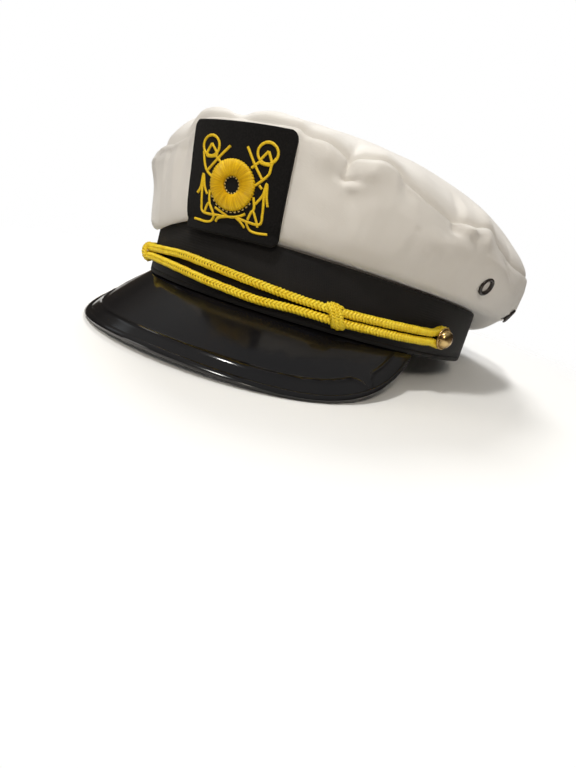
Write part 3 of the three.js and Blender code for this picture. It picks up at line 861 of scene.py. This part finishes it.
def patch_point(across, up, out):
    """A point of the patch: across and up from its middle, out from its back face."""
    east, north = across / patch_width + 0.5, up / patch_height + 0.5
    up += mix(*corner_rise, east) * ease((north - 0.85) / 0.15)
    across -= corner_pull * (1 - north) * ease((0.15 - east) / 0.15)
    angle = angle_at(patch_aside + across * cos(patch_turn) - up * sin(patch_turn))
    middle = band_front - patch_dip + patch_height / 2
    height = middle + up * cos(patch_turn) + across * sin(patch_turn)
    return beside(angle, max(0, wall_out(angle, height)) + patch_gap + out, height)


patch_cells = 90


def patch_outline(x, y):
    """Draws a square's share across and up in to the patch's outline."""
    up = (y - 0.5) * patch_height
    into = max(0, abs(up) - (patch_height / 2 - patch_corner))
    narrowed = patch_corner - sqrt(max(patch_corner**2 - into**2, 0))
    return (x - 0.5) * (patch_width - 2 * narrowed), up


def patch_front(column, row):
    x, y = (0.5 - 0.5 * cos(pi * share / patch_cells) for share in (column, row))
    across, up = patch_outline(x, y)
    side = patch_outline(1, y)[0] - abs(across)
    edge = min(side, patch_height / 2 - abs(up), patch_round)
    drop = patch_round - sqrt(max(patch_round**2 - (patch_round - edge) ** 2, 0))
    fuzz = patch_fuzz * noise.noise(Vector((across, up, 0)) * 1400)
    return patch_point(across, up, patch_wall - drop + fuzz)


def patch_back(column, row):
    x, y = (0.5 - 0.5 * cos(pi * share / patch_cells) for share in (column, row))
    return patch_point(*patch_outline(x, y), 0)


felt = finish(
    "black_felt", Roughness=0.95, Specular_IOR_Level=0.1, Sheen_Weight=0.05, Sheen_Roughness=0.6
)
felt_fibre = mottled(felt, own_place(felt), 1500, 4, 0.65)
felt_tuft = mottled(felt, own_place(felt), 160, 3)
tint(felt, felt_fibre, (0.3, (0.003, 0.003, 0.003)), (0.75, (0.011, 0.01, 0.01)))
felt_lump = relief(felt, felt_tuft, 0.0004, 0.3)
join(felt, relief(felt, felt_fibre, 0.0002, 0.7, felt_lump), "Normal")

patch_shape = shaped_grid(patch_cells, patch_cells, patch_front)
shaped_grid(patch_cells, patch_cells, patch_back, patch_shape)
rims = [edge for edge in patch_shape.edges if edge.is_boundary]
bmesh.ops.bridge_loops(patch_shape, edges=rims)
patch = into_scene(patch_shape, "felt_patch", felt, 60)
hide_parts("badge_patch")

# The emblem: satin stitch in golden yellow thread. A padded life ring lies over two crossed
# anchors drawn in narrow lines, with a row of running stitches inside and under the ring.
# Places are shares of half the patch's width and half its height.
line_width = 0.00052
line_height = 0.0004
thread_pitch = 0.00032
ring_place = (-0.01, -0.07)
ring_radius = 0.0092
ring_hole = 0.0033
ring_height = 0.0017
ring_scallops = 52
scallop_depth = 0.0004
thread_groove = 0.00022
thread_lift = 0.0001
emblem_lines = {
    "left triangle": [(-0.52, 0.6), (-0.61, 0.38), (-0.39, 0.41), (-0.52, 0.6)],
    "left stock": [(-0.13, 0.6), (-0.34, 0.37), (-0.57, 0.11)],
    "left shank": [(-0.69, 0.45), (-0.64, 0.22), (-0.58, 0.11), (-0.44, 0.01)],
    "left brace": [(-0.4, 0.38), (-0.25, 0.26)],
    "left fluke": [(-0.76, -0.32), (-0.69, -0.2), (-0.65, 0.04), (-0.59, -0.19), (-0.52, -0.31)],
    "left arm": [
        (-0.65, -0.05),
        (-0.65, -0.22),
        (-0.64, -0.49),
        (-0.62, -0.63),
        (-0.24, -0.65),
        (-0.03, -0.64),
    ],
    "left inner arm": [(-0.47, -0.22), (-0.45, -0.46), (-0.35, -0.64)],
    "left barb": [(-0.57, -0.65), (-0.47, -0.47), (-0.35, -0.63)],
    "left cable": [(-0.82, -0.79), (-0.47, -0.8), (-0.38, -0.74), (-0.32, -0.64)],
    "left tail": [(-0.31, -0.77), (-0.25, -0.7), (-0.06, -0.64)],
    "left rope": [(-0.32, -0.52), (-0.14, -0.59), (-0.04, -0.63)],
    "right triangle": [(0.58, 0.62), (0.46, 0.41), (0.66, 0.4), (0.58, 0.62)],
    "right stock": [(0.2, 0.63), (0.37, 0.36), (0.54, 0.13)],
    "right shank": [(0.73, 0.53), (0.67, 0.41), (0.65, 0.24), (0.55, 0.11), (0.41, -0.02)],
    "right brace": [(0.46, 0.42), (0.32, 0.28)],
    "right fluke": [(0.49, -0.32), (0.6, -0.14), (0.64, 0.07), (0.68, -0.18), (0.72, -0.32)],
    "right arm": [
        (0.63, -0.05),
        (0.63, -0.19),
        (0.65, -0.45),
        (0.63, -0.64),
        (0.35, -0.65),
        (0.13, -0.61),
    ],
    "right inner arm": [(0.44, -0.2), (0.48, -0.39), (0.46, -0.46)],
    "right barb": [(0.38, -0.62), (0.46, -0.45), (0.55, -0.6), (0.59, -0.71)],
    "right cable": [(0.35, -0.65), (0.43, -0.78), (0.55, -0.81), (0.79, -0.79)],
    "right tail": [(0.14, -0.62), (0.24, -0.68), (0.33, -0.77)],
    "right rope": [(0.33, -0.52), (0.23, -0.58), (0.06, -0.63), (-0.06, -0.64)],
    "right thread": [(0.51, 0.02), (0.57, -0.04)],
}
anchor_eyes = {"left eye": (-0.53, 0.56), "right eye": (0.57, 0.58)}
eye_radius = 0.00365


def lengths_to(points):
    """How far along a line of points each of them is."""
    run = [0.0]
    for a, b in zip(points, points[1:]):
        run.append(run[-1] + (b - a).length)
    return run


def stitched_line(shape, places, closed=False):
    """A narrow satin-stitched line along places on the patch, one rib for each thread."""
    path = [Vector((x * patch_width / 2, y * patch_height / 2)) for x, y in places]
    fine = [spline(path, i / 60)[0] for i in range(61)]
    run = lengths_to(fine)
    columns = max(round(run[-1] / thread_pitch) * 3, 6)

    def place(column, row):
        at = run[-1] * column / columns
        i = min(next((i for i, r in enumerate(run) if r > at), 60), 60)
        part = (at - run[i - 1]) / max(run[i] - run[i - 1], 1e-9)
        middle = fine[i - 1].lerp(fine[i], part)
        along = (fine[i] - fine[i - 1]).normalized()
        end = 0.0 if not closed and column in (0, columns) else 1.0
        rib = (0.88 + 0.12 * (column % 3 != 0)) * end
        turn = tau * (row % 8) / 8
        aside = Vector((-along.y, along.x)) * (line_width * rib * cos(turn))
        flat = middle + aside
        return patch_point(flat.x, flat.y, patch_wall + thread_lift + line_height * rib * sin(turn))

    shaped_grid(columns, 8, place, shape)


thread = finish("golden_thread", Roughness=0.42, Specular_IOR_Level=0.35)
thread_tone = mottled(thread, along_weave(thread, (170, 2.5, 1)), 1, 2)
tint(thread, thread_tone, (0.3, (0.66, 0.38, 0.004)), (0.68, (1, 0.73, 0.022)))
join(thread, relief(thread, thread_tone, 0.0001, 0.4), "Normal")

emblem_shape = new_shape()
for line in emblem_lines.values():
    stitched_line(emblem_shape, line)
for x, y in anchor_eyes.values():
    turns = [tau * i / 16 for i in range(17)]
    wide, tall = eye_radius * 2 / patch_width, eye_radius * 2 / patch_height
    circle = [(x + wide * cos(turn), y + tall * sin(turn)) for turn in turns]
    stitched_line(emblem_shape, circle, closed=True)
ring_centre = (ring_place[0] * patch_width / 2, ring_place[1] * patch_height / 2)
ring_threads = 3 * ring_scallops
ring_columns = 4 * ring_threads


def ring_point(column, row):
    turn = tau * (column % ring_columns) / ring_columns
    middle, half = (ring_radius + ring_hole) / 2, (ring_radius - ring_hole) / 2
    around = tau * (row % 18) / 18
    rib = abs(sin(ring_threads * turn / 2))
    scallop = abs(sin(ring_scallops * turn / 2))
    reach = half + scallop_depth * scallop * max(cos(around), 0) - 0.0001 * (1 - rib)
    radius = middle + reach * cos(around)
    height = ring_height * max(sin(around), 0) ** 0.7 - thread_groove * (1 - rib) * max(sin(around), 0)
    low = -0.0002 if sin(around) < 0 else 0.0
    x, y = ring_centre[0] + radius * cos(turn), ring_centre[1] + radius * sin(turn)
    return patch_point(x, y, patch_wall + thread_lift + height + low)


shaped_grid(ring_columns, 18, ring_point, emblem_shape)
emblem = into_scene(emblem_shape, "stitched_emblem", thread, 70)
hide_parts("badge_embroidery")

pale_thread = finish("pale_gold_thread", Roughness=0.4, Specular_IOR_Level=0.35)
pale_tone = mottled(pale_thread, own_place(pale_thread), 500, 2)
tint(pale_thread, pale_tone, (0.2, (0.74, 0.52, 0.12)), (0.8, (0.88, 0.74, 0.36)))
# Rows of running stitches: radius, first and last degrees, and count.
stitch_rows = [(0.00303, 0, 360, 15), (0.0099, 208, 332, 12)]
stitch_radius = 0.00026
running_shape = new_shape()
for radius, start, end, count in stitch_rows:
    for i in range(count):
        first = radians(mix(start, end, (i + 0.2) / count))
        last = radians(mix(start, end, (i + 0.78) / count))

        def place(column, row, radius=radius, first=first, last=last):
            share = column / 8
            turn = mix(first, last, share)
            fat = stitch_radius * sqrt(max(1 - (2 * share - 1) ** 2, 0))
            around = tau * (row % 6) / 6
            out = radius + fat * cos(around)
            x, y = ring_centre[0] + out * cos(turn), ring_centre[1] + out * sin(turn)
            return patch_point(x, y, patch_wall + 0.0002 + fat * sin(around))

        shaped_grid(8, 6, place, running_shape)
running = into_scene(running_shape, "running_stitches", pale_thread, 70)

# The cord: two strands of round braid in golden yellow yarn, drawn over the band from button
# to button. Each strand has eight yarns, four each way round, that pass over two and under two
# round a core coloured dark as painted shade, which shows as shadow in the gaps between the yarns.
cord_radius = 0.0019
knot_wall = 0.0009
button_angle = 69.3
yarn_share = 0.19
sway_share = 0.17
yarn_flatness = 1.5
yarn_dive = 1.8  # a higher number takes the yarns over and under each other faster
yarn_proud = 0.00008
# How far round (as a share of the buttons' angle), how high (as a share of the band's height),
# how far apart (1 is side by side) and how far a knot lifts the strands off the band.
cord_route = [
    (-1.04, 0.381, 1.66, 0),
    (-1, 0.381, 1.66, 0),
    (-0.958, 0.366, 1.05, 0),
    (-0.924, 0.36, 1.03, 0),
    (-0.79, 0.34, 1.03, 0),
    (-0.64, 0.33, 1, 0.1),
    (-0.505, 0.33, 1, 1),
    (-0.428, 0.348, 1, 0.4),
    (-0.308, 0.358, 1.18, 0),
    (-0.173, 0.36, 1.46, 0),
    (-0.02, 0.33, 1.56, 0),
    (0.1, 0.304, 1.54, 0),
    (0.202, 0.283, 1.5, 0),
    (0.361, 0.28, 1.06, 0.1),
    (0.505, 0.275, 1, 1),
    (0.64, 0.289, 1, 0.1),
    (0.79, 0.311, 1.03, 0),
    (0.924, 0.34, 1.03, 0),
    (0.958, 0.356, 1.05, 0),
    (1, 0.381, 1.66, 0),
    (1.04, 0.381, 1.66, 0),
]


def cord_point(side, row):
    turn, middle, spread, lift = row
    height = middle * band_front + side * spread * (cord_radius + gap / 2)
    return beside(turn * button_angle, gap + cord_radius + lift * (knot_wall + gap), height)


def length_along(path, count=600):
    """Even steps along the smooth curve through a path: place and direction at each."""
    fine = [spline(path, i / count)[0] for i in range(count + 1)]
    run = lengths_to(fine)
    steps, i = [], 1
    for k in range(count + 1):
        at = run[-1] * k / count
        while i < count and run[i] < at:
            i += 1
        part = (at - run[i - 1]) / (run[i] - run[i - 1])
        steps.append((fine[i - 1].lerp(fine[i], part), (fine[i] - fine[i - 1]).normalized()))
    return run[-1], steps


def add_braid(shape, path, facing, radius, pitch, step=0.0005, yarns=8, sides=6):
    """A round braid along a path: facing gives its outer side at each place."""
    length, steps = length_along(path)
    columns = round(length / step)
    yarn = yarn_share * radius
    sway = sway_share * radius
    mid = radius - yarn - sway + yarn_proud

    def frame_at(share):
        at = share * (len(steps) - 1)
        i = min(int(at), len(steps) - 2)
        place = steps[i][0].lerp(steps[i + 1][0], at - i)
        along = steps[i][1].lerp(steps[i + 1][1], at - i).normalized()
        out = facing(place)
        out = (out - along * out.dot(along)).normalized()
        return place, along, out, along.cross(out)

    frames = [frame_at(column / columns) for column in range(columns + 1)]
    for k in range(yarns):
        way = 1 if k % 2 else -1
        start = tau * (k // 2) / (yarns // 2)

        def place(column, row, way=way, start=start):
            place, along, out, side = frames[column]
            turn = start + way * tau * length * column / columns / pitch
            face = out * cos(turn) + side * sin(turn)
            round_way = side * cos(turn) - out * sin(turn)
            level = mid + way * sway * max(-1, min(1, yarn_dive * sin(2 * turn)))
            run = along * pitch + round_way * (way * tau * mid)
            across = face.cross(run.normalized())
            around = tau * (row % sides) / sides
            end = 0.0 if column in (0, columns) else 1.0
            bend = face * (yarn * sin(around)) + across * (yarn_flatness * yarn * cos(around))
            return place + face * level + bend * end

        shaped_grid(columns, sides, place, shape)

    def core(column, row):
        place, along, out, side = frames[column]
        around = tau * (row % 10) / 10
        end = 0.0 if column in (0, columns) else 1.0
        return place + (out * cos(around) + side * sin(around)) * ((mid - 0.9 * sway) * end)

    # The core takes the second material, a dark colour that paints in the shade between the yarns.
    outer_faces = len(shape.faces)
    shaped_grid(columns, 10, core, shape)
    shape.faces.ensure_lookup_table()
    for face in shape.faces[outer_faces:]:
        face.material_index = 1


def out_of_band(place):
    """The level way out of the band beside a place, to a tenth of a degree."""
    turn = atan2(place.x / band_width, -place.y / band_length)
    return outward(round(10 * degrees(turn)) / 10)


golden_yarn = finish("golden_yarn", Roughness=0.42, Specular_IOR_Level=0.4)
yarn_tone = mottled(golden_yarn, own_place(golden_yarn), 260, 3)
yarn_fibre = mottled(golden_yarn, own_place(golden_yarn), 2600, 2, 0.6)
tint(golden_yarn, yarn_tone, (0.25, (0.82, 0.56, 0.01)), (0.8, (0.98, 0.79, 0.05)))
join(golden_yarn, relief(golden_yarn, yarn_fibre, 0.00008, 0.5), "Normal")

# Painted shade: a dark brownish yarn colour for the braid's core, standing in for the shadow deep between
# the yarns.
core_painted_shade = finish("painted_shade_yarn_under_the_braid", Roughness=0.7)
painted_shade_mottle = mottled(core_painted_shade, own_place(core_painted_shade), 400, 2)
tint(core_painted_shade, painted_shade_mottle, (0.3, (0.22, 0.12, 0.002)), (0.7, (0.34, 0.2, 0.004)))

braid_pitch = 0.0064
for name, side in (("upper", 1), ("lower", -1)):
    cord_shape = new_shape()
    path = [cord_point(side, row) for row in cord_route]
    add_braid(cord_shape, path, out_of_band, cord_radius, braid_pitch)
    cord = into_scene(cord_shape, f"braided_cord_{name}", golden_yarn, 80)
    cord.data.materials.append(core_painted_shade)
    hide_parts(f"cord_{name}")

# The knots: a thinner braid wound three times round both strands on the slant, with its ends
# tucked in at the top and the bottom.
wrap_radius = 0.0012
wrap_turns = 3.1
wrap_drift = 0.0018
wrap_pitch = 0.0046
wrap_bulge = 0.0004
# Each knot's place round the band, how high it stands and how far its turns lean over.
knots = {"knot_left": (0.505, 2.25, 0.002), "knot_right": (-0.505, 1.9, 0.0012)}
for name, (turn, stand, wrap_lean) in knots.items():
    row = next(row for row in cord_route if row[0] == turn)
    angle = turn * button_angle
    centre = (cord_point(1, row) + cord_point(-1, row)) / 2
    ahead = outward(angle)
    aside = Vector((-ahead.y, ahead.x, 0))
    path = []
    for i in range(63):
        turned = wrap_turns * i / 62
        up, front = cos(tau * turned), sin(tau * turned)
        tall = cord_radius * (stand - 0.2 * abs(turned - 1.3))
        deep = cord_radius * front + wrap_bulge * max(front, 0)
        slide = wrap_drift * (turned - wrap_turns / 2) - wrap_lean * up
        path.append(centre + ahead * deep + aside * slide + Vector((0, 0, tall * up)))

    def away(place, centre=centre, aside=aside):
        off = place - centre
        return (off - aside * off.dot(aside)).normalized()

    knot_shape = new_shape()
    add_braid(knot_shape, path, away, wrap_radius, wrap_pitch, step=0.00045)
    knot = into_scene(knot_shape, f"wound_{name}", golden_yarn, 80)
    knot.data.materials.append(core_painted_shade)
    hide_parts(name)

# The side buttons: domed brass with a turned rim, one on each side of the band. Each stands on
# a short shank that holds the cord's ends.
button_radius = 0.0051
button_dome = 0.0038
shank_radius = 0.0012
# The button's outline: shares of its radius, and of its dome above the cord.
button_outline = [
    (0.2, -0.01),
    (0.9, -0.01),
    (0.97, 0.03),
    (1, 0.1),
    (0.99, 0.18),
    (0.95, 0.24),
    (0.9, 0.24),
    (0.86, 0.19),
    (0.84, 0.2),
    (0.83, 0.3),
    (0.78, 0.53),
    (0.7, 0.74),
    (0.55, 0.89),
    (0.38, 0.97),
    (0.2, 0.995),
    (0, 1),
]

brass = finish("worn_brass", Metallic=1.0, Roughness=0.26)
brass_wear = mottled(brass, own_place(brass), 210, 5)
brass_scratch = mottled(brass, own_place(brass), 2200, 2)
tarnish, worn, rubbed = (0.28, 0.16, 0.06), (0.68, 0.48, 0.2), (0.83, 0.64, 0.33)
tint(brass, brass_wear, (0.35, tarnish), (0.52, worn), (0.8, rubbed))
join(brass, ranged(brass, brass_wear, (0.3, 0.7), (0.3, 0.12)), "Roughness")
join(brass, relief(brass, brass_scratch, 0.00003, 0.4), "Normal")


def turned_piece(outline, foot, axis, steps=48):
    """An outline of radius and height, spun round an axis that stands on a foot."""
    shape = new_shape()
    points = [shape.verts.new((radius, 0, height)) for radius, height in outline]
    edges = [shape.edges.new(pair) for pair in zip(points, points[1:])]
    bmesh.ops.spin(
        shape,
        geom=points + edges,
        axis=(0, 0, 1),
        cent=(0, 0, 0),
        angle=tau,
        steps=steps,
        use_merge=True,
    )
    bmesh.ops.remove_doubles(shape, verts=shape.verts, dist=1e-6)
    stand = Vector((0, 0, 1)).rotation_difference(axis).to_matrix().to_4x4()
    place = tipped @ Matrix.Translation(foot) @ stand
    bmesh.ops.transform(shape, matrix=place, verts=shape.verts)
    return shape


for name, side in (("button_left", 1), ("button_right", -1)):
    under = 2 * gap + 2 * cord_radius
    outline = [(0, gap), (shank_radius, gap), (shank_radius, under)]
    outline += [(r * button_radius, under + h * button_dome) for r, h in button_outline]
    foot = beside(side * button_angle, 0, cord_route[1][1] * band_front)
    shape = turned_piece(outline, foot, outward(side * button_angle), 64)
    button = into_scene(shape, f"brass_{name}", brass, 35)
    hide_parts(name)

# The eyelets: black enamelled rings pressed through the crown's wall to let air in, with the
# pale lining of the crown showing behind them.
eyelet_radius = 0.00435
eyelet_bore = 0.0026
eyelet_barrel = 0.003
eyelet_lip = 0.0009
eyelet_back = 0.0036
flare_width = 0.0008
flare_wall = 0.0004
lip_foot = 0.0001
lining_depth = 0.0003
lining_wall = 0.0004

lining_cloth = finish("pale_lining_cloth", Roughness=0.8)
lining_tone = mottled(lining_cloth, own_place(lining_cloth), 900, 3)
tint(lining_cloth, lining_tone, (0.3, (0.62, 0.58, 0.55)), (0.7, (0.8, 0.77, 0.74)))
enamel = finish("black_enamel", Roughness=0.22)
enamel_wear = mottled(enamel, own_place(enamel), 380, 4)
tint(enamel, enamel_wear, (0.3, (0.008, 0.007, 0.007)), (0.85, (0.05, 0.035, 0.03)))
join(enamel, relief(enamel, enamel_wear, 0.00005, 0.3), "Normal")

for name, (angle, up) in eyelets.items():
    swell = wall_swell(angle, up / 2)
    centre = wall_point(angle, 3 + up, 0, swell)
    rise = wall_point(angle, 3 + up + 0.1, 0, swell) - wall_point(angle, 3 + up - 0.1, 0, swell)
    level = wall_point(angle + 1, 3 + up, 0, swell) - wall_point(angle - 1, 3 + up, 0, swell)
    axis = (level.cross(rise).normalized() + 0.5 * outward(angle)).normalized()
    outline = [
        (eyelet_bore, -eyelet_back),
        (eyelet_barrel + flare_width, -eyelet_back),
        (eyelet_barrel + flare_width, -eyelet_back + flare_wall),
        (eyelet_barrel, -eyelet_back + flare_wall),
        (eyelet_barrel, lip_foot),
        (eyelet_radius, lip_foot),
    ]
    for i in range(9):
        turn = pi * i / 8
        middle, half = (eyelet_radius + eyelet_bore) / 2, (eyelet_radius - eyelet_bore) / 2
        outline.append((middle + half * cos(turn), 2 * lip_foot + eyelet_lip * sin(turn)))
    outline.append((eyelet_bore, -eyelet_back))
    eyelet = into_scene(turned_piece(outline, centre, axis, 40), f"ring_{name}", enamel, 50)
    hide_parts(name)
    disc = [(0, -lining_depth), (eyelet_bore, -lining_depth)]
    disc += [(eyelet_bore, -lining_depth - lining_wall), (0, -lining_depth - lining_wall)]
    lining = into_scene(turned_piece(disc, centre, axis, 24), f"lining_{name}", lining_cloth, 50)
